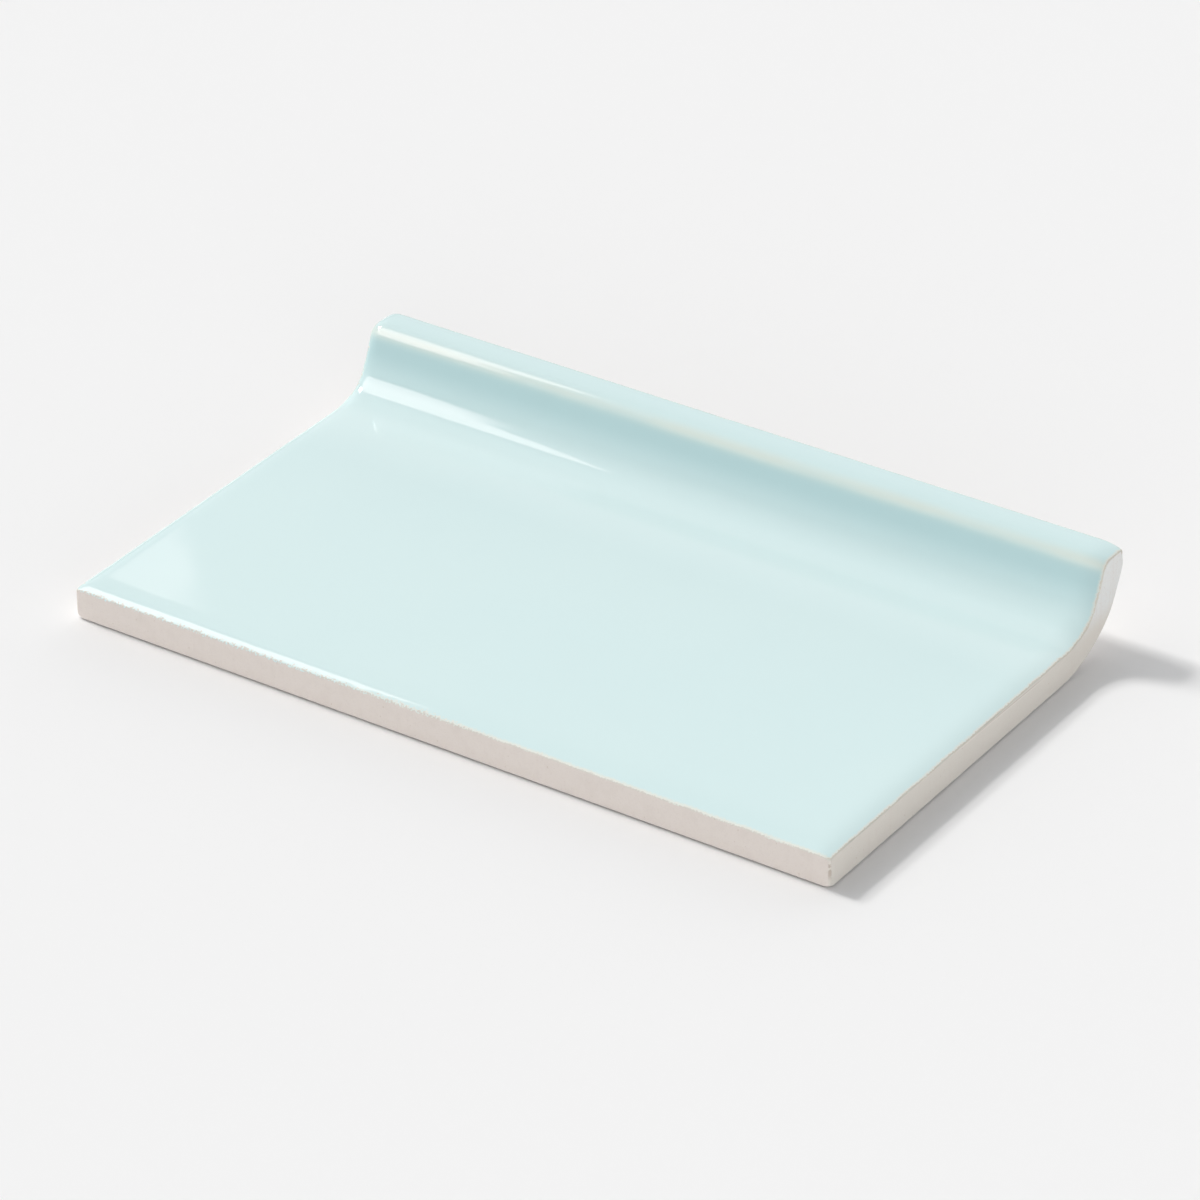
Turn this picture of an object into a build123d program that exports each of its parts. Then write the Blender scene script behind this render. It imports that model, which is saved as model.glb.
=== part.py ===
import os
from math import asin, cos, degrees, radians, sin, tan

from build123d import *

# Cove base tile: one pressed, glazed and fired ceramic trim piece, in millimetres.
# It lies on its back with the glazed face up. X runs along the wall, +Y points to the toe,
# and the origin is under the middle of the piece, at the level of its back.

# The tile as it is sold, 5-7/8 by 3-5/8 in and 1/4 in thick, with the toe that meets the floor.
length = 149.2
height = 92.1
thickness = 6.35
toe_height = 18.0

# The toe's glazed side: a cove that tightens, the sloping face and the narrow, crowned top.
cove_radius = 13.25
cove_turn = 25.0
bend_radius = 5.75
toe_slope = 66.0
toe_top_width = 6.6
toe_crown = 0.25
toe_front_radius = 3.0
toe_back_radius = 1.4

# The heel, outside the cove: a slow curve that tightens, a sloping draft and a short upright land.
heel_radius = 21.9
heel_turn = 40.0
knuckle_radius = 11.5
heel_slope = 65.0
toe_land = 4.0
land_radius = 4.0

# The glazed face drops away to its edges, and the pressed edges of the back are eased.
cushion_width = 3.0
cushion_drop = 0.75
back_edge_radius = 0.3
corner_radius = 0.4

# Keying channels pressed into the back, closed at both ends, that the setting bed grips.
channel_count = 4
channel_width = 9.0
channel_depth = 0.6
channel_pitch = 14.0
channel_corner_radius = 2.0
channel_draft_angle = 30.0
channel_end_margin = 10.0

front = -height / 2
back = height / 2
end = length / 2


def measure_curve(radius, turn_angle, tighter_radius, slope_angle):
    turn, slope = radians(turn_angle), radians(slope_angle)
    run = radius * sin(turn) + tighter_radius * (sin(slope) - sin(turn))
    rise = radius * (1 - cos(turn)) + tighter_radius * (cos(turn) - cos(slope))
    return run, rise


# Glazed side, worked out from the toe's top down to the start of the cove.
lip_y = back - toe_top_width
lip_height = toe_height - toe_crown
cove_run, cove_rise = measure_curve(cove_radius, cove_turn, bend_radius, toe_slope)
face_run = (lip_height - thickness - cove_rise) / tan(radians(toe_slope))
cove_start_y = lip_y - face_run - cove_run

# Heel side, worked out from the land down to the flat back.
heel_run, heel_rise = measure_curve(heel_radius, heel_turn, knuckle_radius, heel_slope)
draft_run = (toe_height - toe_land - heel_rise) / tan(radians(heel_slope))
heel_start_y = back - draft_run - heel_run

# The cushion is an arc that leaves the glazed face at a tangent.
cushion_radius = (cushion_width**2 + cushion_drop**2) / (2 * cushion_drop)
cushion_angle = degrees(asin(cushion_width / cushion_radius))
cutter_margin = 2.0


def draw_glazed_side(start_y):
    flat = Line((start_y, thickness), (cove_start_y, thickness))
    cove = JernArc(flat @ 1, flat % 1, cove_radius, cove_turn)
    bend = JernArc(cove @ 1, cove % 1, bend_radius, toe_slope - cove_turn)
    face = Line(bend @ 1, (lip_y, lip_height))
    top = SagittaArc(face @ 1, (back, lip_height), toe_crown)
    return flat, top


with BuildPart() as cove_base_tile:
    # The section, seen from the right end, fills the right half of the tile.
    with BuildSketch(Plane.YZ) as section:
        with BuildLine():
            sole = Line((front, 0), (heel_start_y, 0))
            heel = JernArc(sole @ 1, sole % 1, heel_radius, heel_turn)
            knuckle = JernArc(heel @ 1, heel % 1, knuckle_radius, heel_slope - heel_turn)
            draft = Line(knuckle @ 1, (back, toe_height - toe_land))
            flat, top = draw_glazed_side(front + cushion_width)
            Line(draft @ 1, top @ 1)
            cushion = JernArc(flat @ 0, -(flat % 0), cushion_radius, cushion_angle)
            Line(cushion @ 1, sole @ 0)
        make_face()
        fillet(section.vertices().sort_by_distance(top @ 0)[0], toe_front_radius)
        fillet(section.vertices().sort_by_distance(top @ 1)[0], toe_back_radius)
        fillet(section.vertices().sort_by_distance(draft @ 1)[0], land_radius)
    extrude(amount=end)

    # The cushion at the end follows the glazed side, over the cove and the toe.
    with BuildLine(Plane.YZ.offset(end)) as rim:
        rim_top = draw_glazed_side(front - cutter_margin)[1]
        fillet(rim.vertices().sort_by_distance(rim_top @ 0)[0], toe_front_radius)
        Line(rim_top @ 1, rim_top @ 1 + (rim_top % 1) * cutter_margin)
    with BuildSketch(Plane.XZ.offset(cutter_margin - front)) as cutter:
        with BuildLine():
            drop = JernArc((end - cushion_width, thickness), (1, 0), cushion_radius, -cushion_angle)
            outside = Line(drop @ 1, drop @ 1 + (drop % 1) * cutter_margin)
            above = Line(drop @ 0, drop @ 0 + Vector(0, cutter_margin))
            Polyline(outside @ 1, ((outside @ 1).X, (above @ 1).Y), above @ 1)
        make_face()
    sweep(sections=cutter.sketch, path=rim.wire(), mode=Mode.SUBTRACT)

    # The upright corner is eased, then the sole's front and end edges. The end's round runs on
    # up the heel to the toe, because the section is tangent all the way.
    front_corner = cove_base_tile.edges().filter_by(Axis.Z).group_by(Axis.Y)[0].sort_by(Axis.X)[-1]
    fillet(front_corner, corner_radius)
    sole_edges = cove_base_tile.faces().sort_by(Axis.Z)[0].edges()
    fillet([sole_edges.sort_by(Axis.Y)[0], sole_edges.sort_by(Axis.X)[-1]], back_edge_radius)
    mirror(about=Plane.YZ)

    # The channels lie across the middle of the flat back.
    with BuildSketch(Plane((0, (front + heel_start_y) / 2, 0))):
        with GridLocations(0, channel_pitch, 1, channel_count):
            RectangleRounded(length - 2 * channel_end_margin, channel_width, channel_corner_radius)
    extrude(amount=channel_depth, taper=channel_draft_angle, mode=Mode.SUBTRACT)

cove_base_tile.part.label = "cove_base_tile"

os.makedirs("parts", exist_ok=True)
export_step(cove_base_tile.part, "parts/cove_base_tile.step")
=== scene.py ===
from math import atan2, cos, degrees, exp, hypot, pi, radians, sin, sqrt, tan

import bpy
import numpy as np
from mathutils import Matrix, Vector, noise


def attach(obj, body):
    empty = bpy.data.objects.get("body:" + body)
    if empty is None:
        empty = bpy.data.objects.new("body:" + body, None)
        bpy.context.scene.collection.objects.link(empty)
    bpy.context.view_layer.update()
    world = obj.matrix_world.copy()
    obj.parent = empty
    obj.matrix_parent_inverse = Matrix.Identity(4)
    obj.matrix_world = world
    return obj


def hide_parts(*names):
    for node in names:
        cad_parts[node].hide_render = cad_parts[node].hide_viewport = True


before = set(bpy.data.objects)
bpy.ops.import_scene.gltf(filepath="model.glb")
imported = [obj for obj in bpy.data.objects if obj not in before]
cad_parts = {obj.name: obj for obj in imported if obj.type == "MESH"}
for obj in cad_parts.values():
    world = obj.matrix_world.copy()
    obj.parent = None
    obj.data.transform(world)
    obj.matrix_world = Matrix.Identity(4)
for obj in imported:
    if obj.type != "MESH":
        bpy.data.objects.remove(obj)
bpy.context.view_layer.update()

# The pressed and fired tile: one piece of buff-white clay, pressed face down in a die that gives it
# the cove, the toe and the soft cushion round the face. The flash is fettled off the four edges, so
# they are bare and a little rough, and the die's ribs leave keying channels in the back.

MM = 0.001
LENGTH, HEIGHT, TOE_HEIGHT = 149.2, 92.1, 18.0
FACE_LEVEL = 6.4
FRONT, BACK, END = -HEIGHT / 2, HEIGHT / 2, LENGTH / 2

COVE_RADIUS, COVE_TURN = 13.25, 25.0
BEND_RADIUS, TOE_SLOPE = 5.75, 66.0
TOE_FACE_BOW = 5.0
TOE_TOP_WIDTH, TOE_CROWN = 6.6, 0.25
LIP_RADIUS, TOE_BACK_RADIUS = 3.0, 0.7
HEEL_RADIUS, HEEL_TURN = 21.9, 40.0
KNUCKLE_RADIUS, HEEL_SLOPE = 11.5, 65.0
TOE_LAND, LAND_RADIUS = 4.0, 4.0

CUSHION_WIDTH, CUSHION_DROP, CUSHION_POWER = 5.4, 0.72, 3.0
LEFT_CUSHION_WIDTH, CUSHION_CORNER_POWER = 3.0, 2.0
ARRIS_RADIUS = 0.16
CORNER_RADIUS = 0.35
BACK_CORNER_RADIUS = 1.3
BACK_EASE_WIDTH, BACK_EASE_LIFT = 2.6, 0.3


class Pen:
    """Draws a section line of straights and tangent arcs, with Y along the tile and Z up, in mm."""

    step = 0.02

    def __init__(self, y, z):
        self.heading = 0.0
        self.points = [(y, z)]
        self.headings = [0.0]

    def forward(self, length):
        y, z = self.points[-1]
        count = max(2, int(length / self.step))
        for i in range(1, count + 1):
            far = length * i / count
            self.points.append((y + far * cos(self.heading), z + far * sin(self.heading)))
            self.headings.append(self.heading)

    def turn(self, radius, angle):
        y, z = self.points[-1]
        start, angle = self.heading, radians(angle)
        side = 1 if angle > 0 else -1
        middle_y = y - side * radius * sin(start)
        middle_z = z + side * radius * cos(start)
        count = max(4, int(abs(angle) * radius / self.step))
        for i in range(1, count + 1):
            heading = start + angle * i / count
            across, up = side * radius * sin(heading), side * radius * cos(heading)
            self.points.append((middle_y + across, middle_z - up))
            self.headings.append(heading)
        self.heading = start + angle

    def run(self):
        """Distance of each point along the line."""
        steps = np.diff(np.array(self.points), axis=0)
        return np.concatenate([[0], np.cumsum(np.hypot(steps[:, 0], steps[:, 1]))])

    def place(self, distances):
        """Places and headings at some distances along the line."""
        points, run = np.array(self.points), self.run()
        y = np.interp(distances, run, points[:, 0])
        z = np.interp(distances, run, points[:, 1])
        return y, z, np.interp(distances, run, self.headings)


def curve_size(radius, turn_angle, tighter, slope_angle):
    """How far a curve that tightens runs and rises before it reaches its slope."""
    turn, slope = radians(turn_angle), radians(slope_angle)
    run = radius * sin(turn) + tighter * (sin(slope) - sin(turn))
    rise = radius * (1 - cos(turn)) + tighter * (cos(turn) - cos(slope))
    return run, rise


# The lip's and the toe's rounds touch the crown, so their middles lie on circles about its middle.
slope = radians(TOE_SLOPE)
lip_corner = np.array([BACK - TOE_TOP_WIDTH, TOE_HEIGHT - TOE_CROWN])
crown_radius = ((TOE_TOP_WIDTH / 2) ** 2 + TOE_CROWN**2) / (2 * TOE_CROWN)
crown_middle = np.array([BACK - TOE_TOP_WIDTH / 2, TOE_HEIGHT - crown_radius])
up_the_face = np.array([cos(slope), sin(slope)])
into_the_toe = np.array([sin(slope), -cos(slope)])
away = lip_corner + LIP_RADIUS * into_the_toe - crown_middle
half = up_the_face @ away
root = sqrt(half**2 - away @ away + (crown_radius - LIP_RADIUS) ** 2)
lip_middle = crown_middle + away + up_the_face * (root - half)
steepest = slope + radians(TOE_FACE_BOW)
lip_tangent = lip_middle - LIP_RADIUS * np.array([sin(steepest), -cos(steepest)])
lip_heading = degrees(atan2(*(lip_middle - crown_middle)))
round_y = BACK - TOE_BACK_RADIUS - crown_middle[0]
round_heading = degrees(atan2(round_y, sqrt((crown_radius - TOE_BACK_RADIUS) ** 2 - round_y**2)))

# The glazed side runs from the front edge over the cove and the lip to the back of the toe.
cove_run, cove_rise = curve_size(COVE_RADIUS, COVE_TURN, BEND_RADIUS, TOE_SLOPE - TOE_FACE_BOW)
face_chord = (lip_tangent[1] - FACE_LEVEL - cove_rise) / sin(slope)
face_radius = face_chord / (2 * sin(radians(TOE_FACE_BOW)))
cove_at = lip_tangent[0] - face_chord * cos(slope) - cove_run - FRONT
glazed_side = Pen(FRONT, FACE_LEVEL)
glazed_side.forward(cove_at)
glazed_side.turn(COVE_RADIUS, COVE_TURN)
glazed_side.turn(BEND_RADIUS, TOE_SLOPE - COVE_TURN - TOE_FACE_BOW)
glazed_side.turn(face_radius, 2 * TOE_FACE_BOW)
lip_from = glazed_side.run()[-1]
glazed_side.turn(LIP_RADIUS, -TOE_SLOPE - TOE_FACE_BOW - lip_heading)
glazed_side.turn(crown_radius, lip_heading - round_heading)
glazed_side.turn(TOE_BACK_RADIUS, round_heading - 90)
face_end = glazed_side.run()[-1]

# The back runs from the front edge along the sole, then up the heel and its draft to the land.
heel_run, heel_rise = curve_size(HEEL_RADIUS, HEEL_TURN, KNUCKLE_RADIUS, HEEL_SLOPE)
draft = (TOE_HEIGHT - TOE_LAND - heel_rise) / sin(radians(HEEL_SLOPE))
heel_at = BACK - draft * cos(radians(HEEL_SLOPE)) - heel_run - FRONT
back_side = Pen(FRONT, 0)
back_side.forward(heel_at)
back_side.turn(HEEL_RADIUS, HEEL_TURN)
back_side.turn(KNUCKLE_RADIUS, HEEL_SLOPE - HEEL_TURN)
back_side.forward(draft - LAND_RADIUS * tan(radians(90 - HEEL_SLOPE) / 2))
back_side.turn(LAND_RADIUS, 90 - HEEL_SLOPE)
back_end = back_side.run()[-1]


def stations(*stretches):
    """Distances along a line, from pairs of where a stretch stops and how far apart they are."""
    at = [0.0]
    for stop, spacing in stretches:
        count = max(1, round((stop - at[-1]) / spacing))
        at += list(np.linspace(at[-1], stop, count + 1)[1:])
    return np.array(at)


# The stations crowd at the arrises and over the cove, and are far apart on the flat before it. The
# levels up the edge walls, from the back to the face, crowd at both.
EDGE_STEPS = ((0.06, 0.02), (0.3, 0.06), (0.9, 0.12), (2.1, 0.24), (5.7, 0.45))
FLAT_STEP, CURVE_STEP, ALONG_STEP, BEFORE_COVE = 3.2, 0.33, 0.75, 1
LOW_LEVELS = (0, 0.04, 0.09, 0.16, 0.25, 0.34, 0.43, 0.52)
WALL_LEVELS = (*LOW_LEVELS, 0.61, 0.7, 0.78, 0.85, 0.91, 0.955, 0.985, 1)
face_at = stations(*EDGE_STEPS, (cove_at - BEFORE_COVE, FLAT_STEP), (face_end, CURVE_STEP))
back_at = np.interp(face_at, [0, cove_at, face_end], [0, heel_at, back_end])
half_across = stations(*EDGE_STEPS, (END, ALONG_STEP))
across = np.concatenate([half_across - END, END - half_across[-2::-1]])
from_end = END - np.abs(across)
last, wide = len(face_at) - 1, len(across) - 1

# The arrises wear in long and in short waves. Each gives its length, its start and its height.
LONG_WEAR, SHORT_WEAR, WEAR_REACH = (1.6, 3.0, 0.05), (0.5, 7.0, 0.02), 0.5


def cushion(distance, width):
    """How far the face has dropped this close to one edge."""
    left = np.clip(1 - distance / width, 0, 1)
    return CUSHION_DROP * left**CUSHION_POWER


def cushion_drop(from_front, from_end, end_width):
    """Blends the front's drop and the end's where they meet."""
    power = CUSHION_CORNER_POWER
    front_drop, end_drop = cushion(from_front, CUSHION_WIDTH), cushion(from_end, end_width)
    return (front_drop**power + end_drop**power) ** (1 / power)


def worn_arris(distance):
    """The small round along the edges of the face."""
    left = np.clip(1 - distance / ARRIS_RADIUS, 0, 1)
    return ARRIS_RADIUS * (1 - np.sqrt(1 - left**2))


def back_ease(distance):
    """The back is pressed in a hair along its edges, so they stand clear of the floor."""
    return BACK_EASE_LIFT * (1 - np.clip(distance / BACK_EASE_WIDTH, 0, 1) ** 3)


def round_corner(from_front, from_end, radius):
    """Moves a point near an upright corner on to its round.

    Gives its distances from the front, from the end and from the outline.
    """
    a = max(radius - from_front, 0)
    b = max(radius - from_end, 0)
    if a == 0 or b == 0:
        return from_front, from_end, min(from_front, from_end)
    moved_a = a * sqrt(1 - b**2 / (2 * radius**2))
    moved_b = b * sqrt(1 - a**2 / (2 * radius**2))
    return radius - moved_a, radius - moved_b, radius - hypot(moved_a, moved_b)


def ripple(place, size, start, height):
    x, y, z = (part / size for part in place)
    return noise.noise(Vector((x, y, z + start))) * height


# How the glaze lies up the section: thin on the lip, with painted light about the start of the
# cove, and pooled under the lip, partly a real bluer pool and partly painted shade, as shares at
# distances in mm past that start.
THIN_PAST_LIP, THIN_SPREAD = 1.2, 1.1
PAINTED_LIGHT_AT = (-14, -9, -5, -1, 1, 3, 6, 8.3, 10)
PAINTED_LIGHT_SHARE = (0, 0.25, 0.6, 0.8, 0.7, 0.35, 0.15, 0.1, 0)
POOLED_AND_SHADE_AT = (4, 8, 9.4, 10.4, 11.4, 12.4, 13.4, 15.2, 16, 16.8, 17.4, 20)
POOLED_AND_SHADE_SHARE = (0, 0.2, 0.38, 0.54, 0.72, 0.88, 1, 1, 0.9, 0.5, 0.15, 0.2)


def glaze_depths(distance):
    """How thin the glaze is, its painted light and its pooling with painted shade, at a distance up
    the glazed side.
    """
    thin = exp(-(((distance - lip_from - THIN_PAST_LIP) / THIN_SPREAD) ** 2))
    past_cove = distance - cove_at
    painted_light = np.interp(past_cove, PAINTED_LIGHT_AT, PAINTED_LIGHT_SHARE)
    pooled_and_shade = np.interp(past_cove, POOLED_AND_SHADE_AT, POOLED_AND_SHADE_SHARE)
    return thin, painted_light, pooled_and_shade


# Each point of the tile's skin has a station up the section, one along the tile and a level between
# the back and the face. It keeps how far it is from the arris, how the glaze lies there, and the
# painted light and shade it gets.
CLAY_MARGIN = 1.5
places, index = [], {}
skin = {"glaze_margin": [], "thin_glaze": [], "painted_light_glaze": [], "pooled_and_shaded_glaze": []}


def add(i, j, level, place, from_arris, depths=(0.0, 0.0, 0.0)):
    index[i, j, level] = len(places)
    places.append(place)
    for values, value in zip(skin.values(), (max(from_arris + CLAY_MARGIN, 0), *depths)):
        values.append(value)


# The glaze stops a little short of the toe's back edge, and the back is all clay.
BARE_TOE_BACK = 0.4
glaze_stop = face_end - BARE_TOE_BACK
face_y, face_z, face_heading = glazed_side.place(face_at)
back_y, back_z, back_heading = back_side.place(back_at)
for j, x in enumerate(across):
    hand = -1 if x < 0 else 1
    end_width = LEFT_CUSHION_WIDTH if x < 0 else CUSHION_WIDTH
    for i in range(last + 1):
        near_front, near_end, outline = round_corner(face_at[i], from_end[j], CORNER_RADIUS)
        here = (x, face_y[i], face_z[i])
        worn = ripple(here, *LONG_WEAR) + ripple(here, *SHORT_WEAR)
        drop = cushion_drop(face_at[i], from_end[j], end_width)
        drop += worn_arris(outline) + worn * exp(-outline / WEAR_REACH)
        y = face_y[i] + sin(face_heading[i]) * drop + near_front - face_at[i]
        z = face_z[i] - cos(face_heading[i]) * drop
        from_arris = min(outline, glaze_stop - face_at[i])
        add(i, j, 1, (hand * (END - near_end), y, z), from_arris, glaze_depths(face_at[i]))

        near_front, near_end, outline = round_corner(back_at[i], from_end[j], BACK_CORNER_RADIUS)
        lift = back_ease(outline)
        y = back_y[i] - sin(back_heading[i]) * lift + near_front - back_at[i]
        z = back_z[i] + cos(back_heading[i]) * lift
        add(i, j, 0, (hand * (END - near_end), y, z), -CLAY_MARGIN)

# The foot of an upright corner is rounder than its top, over a share of the wall's height.
FOOT_SHARE = 0.3


def add_wall(i, j):
    """Joins the back to the face up one edge wall."""
    low, high = np.array(places[index[i, j, 0]]), np.array(places[index[i, j, 1]])
    at_arris = skin["glaze_margin"][index[i, j, 1]] - CLAY_MARGIN
    for level in WALL_LEVELS[1:-1]:
        foot = sqrt(1 - (1 - min(level / FOOT_SHARE, 1)) ** 2)
        place = low + (high - low) * level
        if face_at[i] < BACK_CORNER_RADIUS:
            place[:2] = low[:2] + (high[:2] - low[:2]) * foot
        add(i, j, level, place, at_arris - (1 - level) * np.linalg.norm(high - low))


for j in range(wide + 1):
    add_wall(0, j)
    add_wall(last, j)
for i in range(1, last):
    add_wall(i, 0)
    add_wall(i, wide)

faces = []


def add_face(*corners):
    faces.append([index[corner] for corner in corners])


for j in range(wide):
    for i in range(last):
        add_face((i, j, 1), (i, j + 1, 1), (i + 1, j + 1, 1), (i + 1, j, 1))
        add_face((i, j, 0), (i + 1, j, 0), (i + 1, j + 1, 0), (i, j + 1, 0))
    for low, high in zip(WALL_LEVELS, WALL_LEVELS[1:]):
        add_face((0, j, low), (0, j + 1, low), (0, j + 1, high), (0, j, high))
        add_face((last, j + 1, low), (last, j, low), (last, j, high), (last, j + 1, high))
for i in range(last):
    for low, high in zip(WALL_LEVELS, WALL_LEVELS[1:]):
        add_face((i + 1, 0, low), (i, 0, low), (i, 0, high), (i + 1, 0, high))
        add_face((i, wide, low), (i + 1, wide, low), (i + 1, wide, high), (i, wide, high))

tile_mesh = bpy.data.meshes.new("pressed_tile")
tile_mesh.from_pydata([Vector(p) * MM for p in places], [], faces)
for name, values in skin.items():
    tile_mesh.attributes.new(name, "FLOAT", "POINT").data.foreach_set("value", values)
fired_tile = bpy.data.objects.new("fired_tile", tile_mesh)
bpy.context.scene.collection.objects.link(fired_tile)

# The die's ribs are cut out of the back.
CHANNEL_COUNT, CHANNEL_PITCH, CHANNEL_MARGIN = 4, 14.0, 10.0
CHANNEL_WIDTH, CHANNEL_DEPTH, CHANNEL_ROUND, CHANNEL_DRAFT = 9.0, 0.6, 2.0, 30.0
RIB_FOOT, CORNER_STEPS = 0.5, 8
SHARP_ANGLE = 38


def channel_ring(middle_y, z):
    """The outline of one channel at a height, drawn in by its draft."""
    inset = z * tan(radians(CHANNEL_DRAFT))
    half_length = END - CHANNEL_MARGIN - inset
    half_width = CHANNEL_WIDTH / 2 - inset
    radius = CHANNEL_ROUND - inset
    ring = []
    for corner, (side_x, side_y) in enumerate(((1, 1), (-1, 1), (-1, -1), (1, -1))):
        for step in range(CORNER_STEPS + 1):
            angle = radians(90 * corner + 90 * step / CORNER_STEPS)
            x = side_x * (half_length - radius) + radius * cos(angle)
            y = middle_y + side_y * (half_width - radius) + radius * sin(angle)
            ring.append(Vector((x, y, z)) * MM)
    return ring


rib_points, rib_faces = [], []
for number in range(CHANNEL_COUNT):
    middle_y = FRONT + heel_at / 2 + (number - (CHANNEL_COUNT - 1) / 2) * CHANNEL_PITCH
    foot, top = channel_ring(middle_y, -RIB_FOOT), channel_ring(middle_y, CHANNEL_DEPTH)
    start, count = len(rib_points), len(foot)
    rib_points += foot + top
    rib_faces.append([start + n for n in reversed(range(count))])
    rib_faces.append([start + count + n for n in range(count)])
    for n in range(count):
        after = (n + 1) % count
        rib_faces.append([start + n, start + after, start + count + after, start + count + n])
rib_mesh = bpy.data.meshes.new("die_ribs")
rib_mesh.from_pydata(rib_points, [], rib_faces)
ribs = bpy.data.objects.new("die_ribs", rib_mesh)
bpy.context.scene.collection.objects.link(ribs)
cut = fired_tile.modifiers.new("channels", "BOOLEAN")
cut.operation = "DIFFERENCE"
cut.solver = "EXACT"
cut.object = ribs
bpy.context.view_layer.update()
cut_tile = fired_tile.evaluated_get(bpy.context.evaluated_depsgraph_get())
pressed = bpy.data.meshes.new_from_object(cut_tile)
fired_tile.modifiers.clear()
fired_tile.data = pressed
bpy.data.objects.remove(ribs)
pressed.polygons.foreach_set("use_smooth", [True] * len(pressed.polygons))
pressed.set_sharp_from_angle(angle=radians(SHARP_ANGLE))

# The glaze and the bare clay: a pale aqua gloss glaze that pools a shade bluer under the lip,
# darkened there with painted shade, lighter about the start of the cove with painted light, and
# thin and creamy on the lip and along the arrises. The clay is matt, sandy and pale, with a few
# iron specks. Its right end is painted greyer as shade and paler up the toe as painted light.

GLAZE, GLAZE_CLOUD = (0.688, 0.855, 0.852), (0.680, 0.850, 0.850)
# The next colour is painted light: a lighter glaze about the bend of the cove.
GLAZE_PAINTED_LIGHT = (0.765, 0.920, 0.917)
# The next colour is a bluer pooled glaze, darkened with painted shade under the lip.
GLAZE_POOLED_AND_SHADE = (0.515, 0.705, 0.718)
GLAZE_THIN = (0.702, 0.790, 0.735)
GLAZE_CREAM = (0.86, 0.82, 0.73)
GLAZE_TAN = (0.62, 0.50, 0.38)
CLAY, CLAY_DARK = (0.728, 0.666, 0.619), (0.658, 0.590, 0.541)
# The next two colours paint the right end: greyer for its shade, paler and cooler up the toe as
# painted light.
CLAY_END_SHADE, CLAY_TOE_COOL_LIGHT = (0.688, 0.652, 0.596), (0.736, 0.744, 0.731)
# The first colour here is a painted highlight along the flash line's ridge.
CLAY_FLASH_HIGHLIGHT, CLAY_RIM = (0.770, 0.730, 0.670), (0.660, 0.650, 0.590)
# The chipped colour also paints the shadow over the flash line.
CLAY_CHIPPED_AND_SHADE, IRON_SPECK = (0.430, 0.353, 0.300), (0.42, 0.31, 0.22)
GLAZE_IOR = 1.5


def new_node(tree, kind, **settings):
    made = tree.nodes.new(kind)
    for key, value in settings.items():
        setattr(made, key, value)
    return made


def feed(tree, socket, value):
    """Gives a socket a link, a colour or a plain value."""
    if isinstance(value, bpy.types.NodeSocket):
        tree.links.new(value, socket)
    elif isinstance(value, tuple) and socket.type == "RGBA":
        socket.default_value = (*value, 1.0)
    else:
        socket.default_value = value


def maths(tree, operation, *values):
    made = new_node(tree, "ShaderNodeMath", operation=operation)
    for socket, value in zip(made.inputs, values):
        feed(tree, socket, value)
    return made.outputs[0]


def times(tree, first, second):
    return maths(tree, "MULTIPLY", first, second)


def mix_colour(tree, share, first, second):
    made = new_node(tree, "ShaderNodeMix", data_type="RGBA")
    sockets = {socket.identifier: socket for socket in made.inputs}
    feed(tree, sockets["Factor_Float"], share)
    feed(tree, sockets["A_Color"], first)
    feed(tree, sockets["B_Color"], second)
    return next(socket for socket in made.outputs if socket.identifier == "Result_Color")


def ramp(tree, value, low, high, to_low=0.0, to_high=1.0):
    """Eases from one result to another while the value goes from low to high."""
    made = new_node(tree, "ShaderNodeMapRange", interpolation_type="SMOOTHSTEP")
    parts = {"Value": value, "From Min": low, "From Max": high, "To Min": to_low, "To Max": to_high}
    for key, part in parts.items():
        feed(tree, made.inputs[key], part)
    return made.outputs[0]


def ramp_mm(tree, value, low, high, to_low=0.0, to_high=1.0):
    """The same, between two places in mm."""
    return ramp(tree, value, low * MM, high * MM, to_low, to_high)


def grain(tree, place, size, detail=2.0, stretch=(1, 1, 1)):
    """Soft noise of about a size in mm, drawn out along an axis where its share is small."""
    mapping = new_node(tree, "ShaderNodeMapping")
    feed(tree, mapping.inputs["Vector"], place)
    mapping.inputs["Scale"].default_value = stretch
    made = new_node(tree, "ShaderNodeTexNoise")
    feed(tree, made.inputs["Vector"], mapping.outputs[0])
    made.inputs["Scale"].default_value = 1 / (size * MM)
    made.inputs["Detail"].default_value = detail
    return made.outputs["Fac"]


tile_look = bpy.data.materials.new("glazed_tile")
tile_look.use_nodes = True
tree = tile_look.node_tree
tree.nodes.clear()
output = new_node(tree, "ShaderNodeOutputMaterial")
surface = new_node(tree, "ShaderNodeBsdfPrincipled")
surface.inputs["IOR"].default_value = GLAZE_IOR
feed(tree, output.inputs[0], surface.outputs[0])
place = new_node(tree, "ShaderNodeTexCoord").outputs["Object"]
apart = new_node(tree, "ShaderNodeSeparateXYZ")
feed(tree, apart.inputs[0], place)
along, up_section, upright = (apart.outputs[axis] for axis in "XYZ")
# The skin's shares: glaze margin, thin glaze, painted light, and pooled glaze with painted shade.
margin, thin, painted_light, pooled_and_shade = (
    new_node(tree, "ShaderNodeAttribute", attribute_name=name).outputs["Fac"] for name in skin
)

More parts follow.
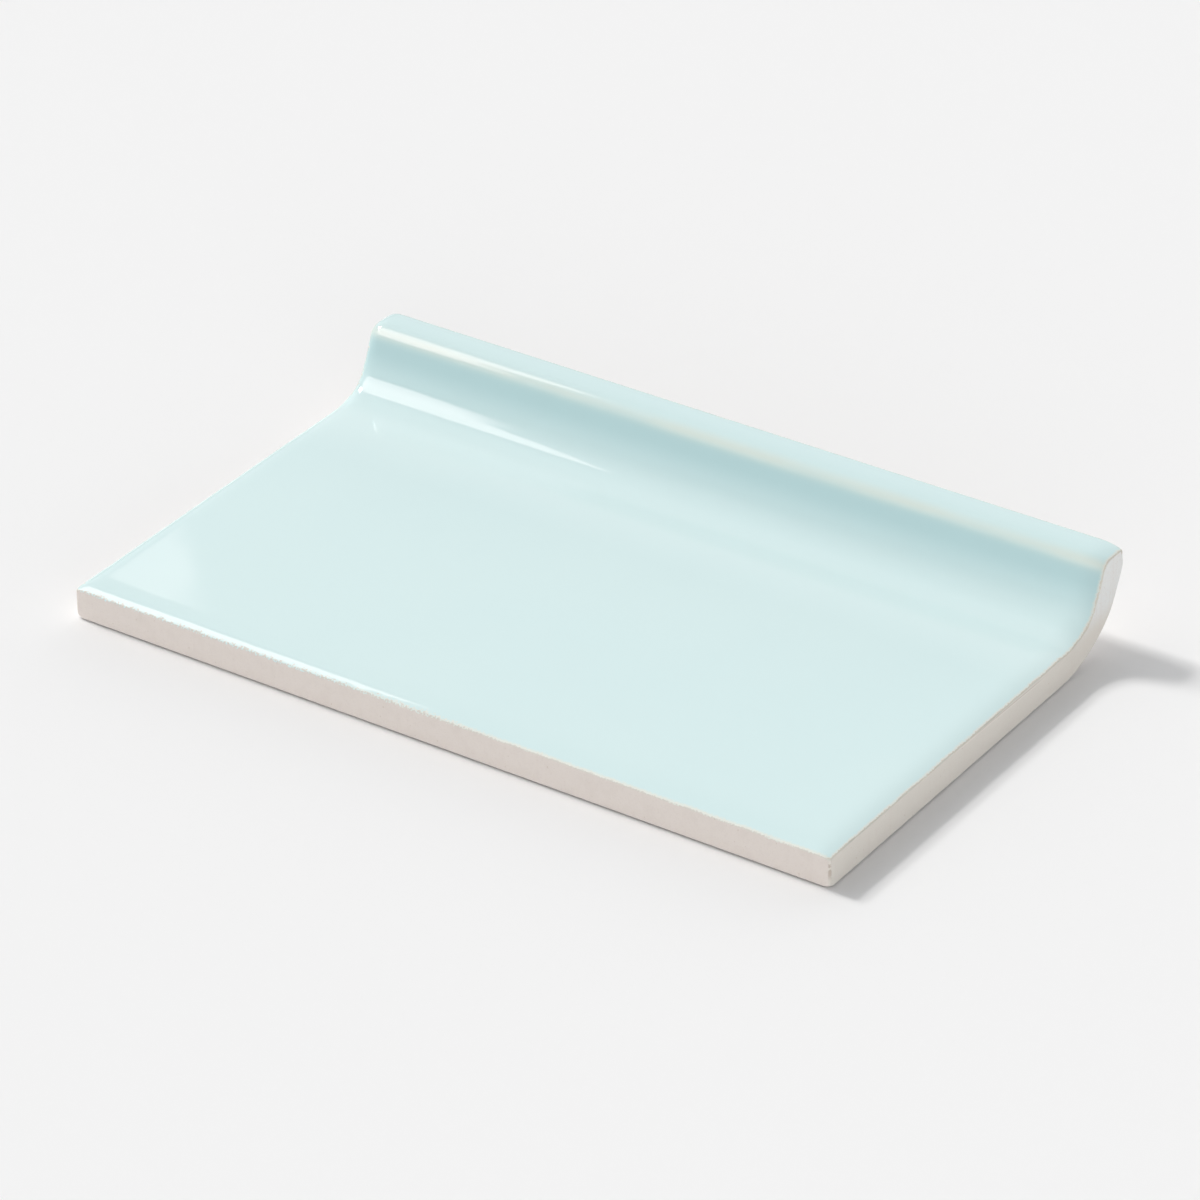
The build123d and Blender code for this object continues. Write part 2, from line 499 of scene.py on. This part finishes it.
# The glaze stops at the arris in an uneven line, more ragged along the left half of the front. Its
# small tears are 0.4 mm across, and its slow waves 3.5 mm.
TEAR_SIZE, WAVE_SIZE, WAVE_HEIGHT, MIDDLE_GREY = 0.4, 3.5, 0.5, 0.5
RAGGED_LEFT, RAGGED_RIGHT, RAGGED_TURNS = 2.6, 0.7, (-5, 12)
GLAZE_EDGE = (0.04, 0.16)
tears = maths(tree, "SUBTRACT", grain(tree, place, TEAR_SIZE, detail=4.0), MIDDLE_GREY)
tears = times(tree, tears, ramp_mm(tree, along, *RAGGED_TURNS, RAGGED_LEFT, RAGGED_RIGHT))
waves = maths(tree, "SUBTRACT", grain(tree, place, WAVE_SIZE), MIDDLE_GREY)
waves = times(tree, waves, WAVE_HEIGHT)
line = maths(tree, "ADD", maths(tree, "ADD", margin, tears), waves)
line = maths(tree, "SUBTRACT", line, CLAY_MARGIN)
glazed = ramp(tree, line, *GLAZE_EDGE)

# Near that line its colour runs to cream, less so on the left, and on the right end to a thin tan
# rim. On the flat it clouds slowly, and on the lip it runs thin in patches that lie along it.
CREAM_TURNS, CREAM_LEFT, CREAM_BAND, CREAM_SHARE = (-30, 0), 0.25, (0.15, 0.75), 0.7
TAN_STARTS, TAN_BAND, TAN_SHARE = (END - 1.2, END - 0.5), (0.10, 0.32), 0.6
CLOUD_SIZE, CLOUD_BAND = 38, (0.35, 0.65)
LIP_RUN_SIZE, LIP_RUN_STRETCH, LIP_RUN_BAND, LIP_RUN_LEAST = 6, (0.25, 1, 1), (0.3, 0.6), 0.55
right_half = ramp_mm(tree, along, *CREAM_TURNS, CREAM_LEFT, 1.0)
right_end = ramp_mm(tree, along, *TAN_STARTS)
cream = times(tree, ramp(tree, line, *CREAM_BAND, 1.0, 0.0), right_half)
tan_rim = times(tree, ramp(tree, line, *TAN_BAND, 1.0, 0.0), right_end)
cloud = ramp(tree, grain(tree, place, CLOUD_SIZE, detail=3.0), *CLOUD_BAND)
lip_run = grain(tree, place, LIP_RUN_SIZE, detail=3.0, stretch=LIP_RUN_STRETCH)
lip_run = ramp(tree, lip_run, *LIP_RUN_BAND, LIP_RUN_LEAST, 1.0)
glaze_colour = GLAZE
for share, colour in (
    (cloud, GLAZE_CLOUD),
    # painted light about the start of the cove
    (painted_light, GLAZE_PAINTED_LIGHT),
    # pooled glaze, partly painted shade under the lip
    (pooled_and_shade, GLAZE_POOLED_AND_SHADE),
    (times(tree, thin, lip_run), GLAZE_THIN),
    (times(tree, cream, CREAM_SHARE), GLAZE_CREAM),
    (times(tree, tan_rim, TAN_SHARE), GLAZE_TAN),
):
    glaze_colour = mix_colour(tree, share, glaze_colour, colour)

# The clay shows fettling scratches up the edges, a fine mottle and scattered specks. On the right
# end it is painted greyer as shade, and paler and cooler up the toe as painted light. The front
# right corner is chipped above its foot, and the toe's tip has a brown spot. A band is the stretch
# of the grain over which a mark comes up.
SCRATCH_SIZE, SCRATCH_STRETCH = 1.1, (1, 1, 0.06)
SCRATCH_BAND, SCRATCH_SHARE = (0.52, 0.80), 0.25
MOTTLE_SIZE, MOTTLE_BAND, MOTTLE_SHARE = 2.2, (0.40, 0.75), 0.30
SAND_SIZE, SAND_BAND, SAND_SHARE = 0.28, (0.50, 0.78), 0.45
SPECK_SIZE, SPECK_BAND, SPECK_SHARE = 0.55, (0.745, 0.80), 0.30
CHIP_SIZE, CHIP_BAND, CHIP_SHARE = 0.9, (0.44, 0.52), 0.75
END_FACE, TOE_LIGHT_RISE = (END - 0.5, END - 0.1), (5, 10)
CHIPS_END, CHIPS_FRONT = (END - 0.55, END - 0.2), (FRONT + 0.2, FRONT + 0.55)
CHIPS_FOOT = (1.2, 3.0)
TOE_TIP, TIP_SPOT, TIP_SHARE = (END, BACK - 0.5, TOE_HEIGHT - 1.1), (0.25, 0.75), 0.9
scratch = grain(tree, place, SCRATCH_SIZE, stretch=SCRATCH_STRETCH)
mottle = grain(tree, place, MOTTLE_SIZE, detail=4.0)
sand = grain(tree, place, SAND_SIZE)
specks = ramp(tree, grain(tree, place, SPECK_SIZE, detail=1.0), *SPECK_BAND)
on_end_face = ramp_mm(tree, along, *END_FACE)
# Painted shade on the right end, turning to paler, cooler painted light up the toe.
painted_end_light_and_shade = mix_colour(tree, ramp_mm(tree, upright, *TOE_LIGHT_RISE), CLAY_END_SHADE, CLAY_TOE_COOL_LIGHT)
at_end = ramp_mm(tree, along, *CHIPS_END)
at_front = ramp_mm(tree, up_section, *CHIPS_FRONT, 1.0, 0.0)
above_foot = ramp_mm(tree, upright, *CHIPS_FOOT)
chips = ramp(tree, grain(tree, place, CHIP_SIZE, detail=4.0), *CHIP_BAND)
for share in (at_end, at_front, above_foot):
    chips = times(tree, chips, share)
to_tip = new_node(tree, "ShaderNodeVectorMath", operation="DISTANCE")
feed(tree, to_tip.inputs[0], place)
feed(tree, to_tip.inputs[1], tuple(part * MM for part in TOE_TIP))
tip_spot = ramp_mm(tree, to_tip.outputs["Value"], *TIP_SPOT, TIP_SHARE, 0.0)
clay_colour = CLAY
for share, colour in (
    (ramp(tree, mottle, *MOTTLE_BAND, 0.0, MOTTLE_SHARE), CLAY_DARK),
    (on_end_face, painted_end_light_and_shade),
    (ramp(tree, scratch, *SCRATCH_BAND, 0.0, SCRATCH_SHARE), CLAY_DARK),
    (ramp(tree, sand, *SAND_BAND, 0.0, SAND_SHARE), CLAY_DARK),
    (times(tree, specks, SPECK_SHARE), IRON_SPECK),
    (times(tree, chips, CHIP_SHARE), CLAY_CHIPPED_AND_SHADE),
    (tip_spot, GLAZE_TAN),
):
    clay_colour = mix_colour(tree, share, clay_colour, colour)

# A low flash line runs along part of the right end, drawn as a hair of painted shadow over a
# painted highlight on a ridge that the shape does not have. Each of the two gives how far over the
# line it lies, its half width, its share and its colour.
FLASH_HEIGHT, FLASH_FALL = 5.33, 0.0207
FLASH_STARTS, FLASH_STOPS = (-9, -5), (16, 22)
# The first band is painted shadow, the second a painted highlight.
FLASH_BANDS = ((0.16, 0.12, 0.5, CLAY_CHIPPED_AND_SHADE), (-0.12, 0.2, 0.6, CLAY_FLASH_HIGHLIGHT))
BAND_CORE = 0.2
over_flash = maths(tree, "MULTIPLY_ADD", up_section, FLASH_FALL, upright)
over_flash = maths(tree, "SUBTRACT", over_flash, FLASH_HEIGHT * MM)
starts = ramp_mm(tree, up_section, *FLASH_STARTS)
stops = ramp_mm(tree, up_section, *FLASH_STOPS, 1.0, 0.0)
flash_light_and_shade = times(tree, times(tree, starts, stops), at_end)
for middle, half_width, share, colour in FLASH_BANDS:
    off = maths(tree, "ABSOLUTE", maths(tree, "SUBTRACT", over_flash, middle * MM))
    band = ramp_mm(tree, off, BAND_CORE * half_width, half_width, share, 0.0)
    clay_colour = mix_colour(tree, times(tree, flash_light_and_shade, band), clay_colour, colour)

# Where the glaze has torn back from the arris, the clay under it is stained.
RIM_SOFTNESS = 0.1
rim = ramp(tree, margin, CLAY_MARGIN - RIM_SOFTNESS, CLAY_MARGIN + RIM_SOFTNESS)
clay_colour = mix_colour(tree, rim, clay_colour, CLAY_RIM)
feed(tree, surface.inputs["Base Color"], mix_colour(tree, glazed, clay_colour, glaze_colour))

# The clay is matt and has a fine tooth, and the glaze is glossy and lies in a slow swell.
CLAY_ROUGHNESS, GLAZE_ROUGHNESS = 0.88, 0.04
CLAY_TOOTH, GLAZE_SWELL, SWELL_SIZE, BUMP_HEIGHT = 0.5, 1.2, 14, 0.06
roughness = ramp(tree, glazed, 0.0, 1.0, CLAY_ROUGHNESS, GLAZE_ROUGHNESS)
feed(tree, surface.inputs["Roughness"], roughness)
tooth = maths(tree, "ADD", scratch, sand)
tooth = times(tree, tooth, ramp(tree, glazed, 0.0, 1.0, CLAY_TOOTH, 0.0))
swell = times(tree, grain(tree, place, SWELL_SIZE, detail=1.0), glazed)
swell = times(tree, swell, GLAZE_SWELL)
bump = new_node(tree, "ShaderNodeBump")
bump.inputs["Distance"].default_value = BUMP_HEIGHT * MM
bump.inputs["Strength"].default_value = 1.0
feed(tree, bump.inputs["Height"], maths(tree, "ADD", tooth, swell))
feed(tree, surface.inputs["Normal"], bump.outputs[0])
pressed.materials.append(tile_look)

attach(fired_tile, "root")
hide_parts("cove_base_tile")

# The table, the light and the camera: a pale paper sweep, a soft sky of paper round it, one lamp on
# the left and a long softbox over the back left corner that the glaze mirrors.

PAPER, FLOOR_PAPER = (0.896, 0.896, 0.896), (0.910, 0.908, 0.907)
FLOOR_REACH, FLOOR_CORNERS = 6, ((-1, -1), (1, -1), (1, 1), (-1, 1))
paper = bpy.data.materials.new("paper")
paper.use_nodes = True
paper_surface = paper.node_tree.nodes["Principled BSDF"]
paper_surface.inputs["Base Color"].default_value = (*FLOOR_PAPER, 1)
paper_surface.inputs["Roughness"].default_value = 1.0
paper_surface.inputs["Specular IOR Level"].default_value = 0.0
floor_mesh = bpy.data.meshes.new("floor")
floor_points = [(x * FLOOR_REACH, y * FLOOR_REACH, 0) for x, y in FLOOR_CORNERS]
floor_mesh.from_pydata(floor_points, [], [(0, 1, 2, 3)])
floor_mesh.materials.append(paper)
floor = bpy.data.objects.new("floor", floor_mesh)
bpy.context.scene.collection.objects.link(floor)

# Each patch of the sky gives the azimuth and elevation of its middle, the cosines of the angles
# from there at which it starts and is full, and how bright it is at both. The patch below zero
# shades the left close to the floor.
SKY_PATCHES = (
    (0, 90, 0.05, 0.40, 1.50, 0.0),
    (0, 90, 0.40, 0.80, 0.28, 0.0),
    (180, 4, 0.72, 0.97, 0.0, -1.20),
    (310, 2, 0.80, 0.97, 0.0, 2.20),
    (0, 35, 0.75, 0.95, 0.0, 0.49),
    (120, 35, 0.75, 0.95, 0.0, 1.00),
    (180, 35, 0.75, 0.95, 0.0, 1.38),
    (240, 35, 0.75, 0.95, 0.0, 0.38),
    (90, 8, 0.82, 0.97, 0.0, 1.30),
)
SKY_TINT = (0.793, 0.80, 0.809)
world = bpy.data.worlds.new("studio")
world.use_nodes = True
bpy.context.scene.world = world
tree = world.node_tree
tree.nodes.clear()
output = new_node(tree, "ShaderNodeOutputWorld")
around = new_node(tree, "ShaderNodeTexCoord").outputs["Generated"]
brightness = 0.0
for azimuth, elevation, low, high, to_low, to_high in SKY_PATCHES:
    turn, lift = radians(azimuth), radians(elevation)
    toward = new_node(tree, "ShaderNodeVectorMath", operation="DOT_PRODUCT")
    feed(tree, toward.inputs[0], around)
    feed(tree, toward.inputs[1], (cos(turn) * cos(lift), sin(turn) * cos(lift), sin(lift)))
    patch = ramp(tree, toward.outputs["Value"], low, high, to_low, to_high)
    brightness = maths(tree, "ADD", brightness, patch)

# What the glaze mirrors of the sky is capped, more so close to the floor.
LOW_SKY, HIGH_SKY = 0.10, 0.42
MIRRORED_LOW, MIRRORED_HIGH, UNCAPPED = 0.45, 1.25, 10.0
ray = new_node(tree, "ShaderNodeLightPath").outputs
facing = new_node(tree, "ShaderNodeSeparateXYZ")
feed(tree, facing.inputs[0], around)
cap = ramp(tree, facing.outputs["Z"], LOW_SKY, HIGH_SKY, MIRRORED_LOW, MIRRORED_HIGH)
cap = maths(tree, "ADD", cap, ramp(tree, ray["Is Glossy Ray"], 0.0, 1.0, UNCAPPED, 0.0))
lit = new_node(tree, "ShaderNodeBackground")
feed(tree, lit.inputs["Color"], SKY_TINT)
feed(tree, lit.inputs["Strength"], maths(tree, "MINIMUM", brightness, cap))
seen = new_node(tree, "ShaderNodeBackground")
feed(tree, seen.inputs["Color"], PAPER)
chosen = new_node(tree, "ShaderNodeMixShader")
feed(tree, chosen.inputs[0], ray["Is Camera Ray"])
feed(tree, chosen.inputs[1], lit.outputs[0])
feed(tree, chosen.inputs[2], seen.outputs[0])
feed(tree, output.inputs[0], chosen.outputs[0])

# The lamp is four discs close together, so the edge of its shadow is soft. Each gives its angle
# from overhead, its angle to the back, its width and its light on the floor.
KEY_LAMPS = ((44, 2, 6, 0.150), (44, 10, 6, 0.085), (51, 2, 6, 0.085), (51, 8, 6, 0.070))
KEY_COLOUR = (1.01, 1.0, 0.985)
for number, (zenith, aside, width, level) in enumerate(KEY_LAMPS):
    lamp = bpy.data.lights.new(f"key_{number}", "SUN")
    lamp.angle = radians(width)
    lamp.energy = level * pi / cos(radians(zenith))
    lamp.color = KEY_COLOUR
    key = bpy.data.objects.new(f"key_{number}", lamp)
    zenith, aside = radians(zenith), radians(aside)
    towards = Vector((-cos(aside) * sin(zenith), sin(aside) * sin(zenith), cos(zenith)))
    key.rotation_euler = towards.to_track_quat("Z", "Y").to_euler()
    bpy.context.scene.collection.objects.link(key)

# The softbox and the window fade out over their right sides, and only the glaze mirrors them. Each
# row of theirs gives its glow and its Y, then the X of its far, full and faded corners, in mm.
SOFTBOX_COLOUR = (1.22, 1.0, 0.98)
SOFTBOX_LEVEL, WINDOW_LEVEL = 4.2, 0.75
SOFTBOX_Z, WINDOW_Z = 181, 306
SOFTBOX_ROWS = (
    (0.75, 42, -234, -118, -112),
    (0.75, 8, -262, -126, -120),
    (0.85, -14, -281, -137, -130),
    (0.95, -24, -290, -147, -139),
    (1.0, -36, -298, -157, -147),
    (1.0, -52, -306, -165, -153),
    (1.0, -88, -319, -175, -161),
    (1.0, -130, -332, -192, -174),
    (1.0, -175, -343, -220, -200),
    (1.0, -235, -350, -285, -255),
)
WINDOW_ROWS = (
    (1.0, 344, -380, -366, -352),
    (1.0, 355.5, -401, -372, -360),
    (1.0, 361, -401, -375, -368),
    (1.0, 367, -401, -378, -371),
    (1.0, 373, -401, -384, -377),
    (1.0, 378, -401, -390.5, -384),
    (1.0, 388, -401, -393, -390.8),
)


def add_panel(name, rows, z, level):
    """Hangs a lit panel level at a height, where only mirrored rays meet it."""
    points = [Vector((x, y, z)) * MM for glow, y, *corners in rows for x in corners]
    glows = [part for glow, *corners in rows for part in (1.0, glow, 0.0)]
    quads = []
    for first in range(0, len(points) - 3, 3):
        for corner in (first, first + 1):
            quads.append((corner, corner + 1, corner + 4, corner + 3))
    mesh = bpy.data.meshes.new(name)
    mesh.from_pydata(points, [], quads)
    mesh.attributes.new("glow", "FLOAT", "POINT").data.foreach_set("value", glows)
    look = bpy.data.materials.new(name)
    look.use_nodes = True
    tree = look.node_tree
    tree.nodes.clear()
    output = new_node(tree, "ShaderNodeOutputMaterial")
    shine = new_node(tree, "ShaderNodeEmission")
    glow = new_node(tree, "ShaderNodeAttribute", attribute_name="glow").outputs["Fac"]
    feed(tree, shine.inputs["Color"], SOFTBOX_COLOUR)
    feed(tree, shine.inputs["Strength"], times(tree, glow, level))
    over = new_node(tree, "ShaderNodeAddShader")
    feed(tree, over.inputs[0], shine.outputs[0])
    feed(tree, over.inputs[1], new_node(tree, "ShaderNodeBsdfTransparent").outputs[0])
    feed(tree, output.inputs[0], over.outputs[0])
    mesh.materials.append(look)
    panel = bpy.data.objects.new(name, mesh)
    bpy.context.scene.collection.objects.link(panel)
    panel.visible_camera = False
    panel.visible_diffuse = False
    panel.visible_shadow = False


add_panel("softbox", SOFTBOX_ROWS, SOFTBOX_Z, SOFTBOX_LEVEL)
add_panel("window", WINDOW_ROWS, WINDOW_Z, WINDOW_LEVEL)

# The camera stands a metre off, over the front right corner.
AZIMUTH, ELEVATION, DISTANCE = 33.718, 30.833, 1006.5
AIM = Vector((0.667, -0.112, 5.573))
LENS, SENSOR_WIDTH, CLIP_END = 180.3, 36.0, 50.0
turn, lift = radians(AZIMUTH), radians(ELEVATION)
towards = Vector((sin(turn) * cos(lift), -cos(turn) * cos(lift), sin(lift)))
camera_data = bpy.data.cameras.new("camera")
camera_data.sensor_width = SENSOR_WIDTH
camera_data.lens = LENS
camera_data.clip_end = CLIP_END
camera = bpy.data.objects.new("camera", camera_data)
camera.location = (AIM + DISTANCE * towards) * MM
camera.rotation_euler = towards.to_track_quat("Z", "Y").to_euler()
bpy.context.scene.collection.objects.link(camera)
bpy.context.scene.camera = camera
bpy.context.scene.view_settings.view_transform = "Standard"
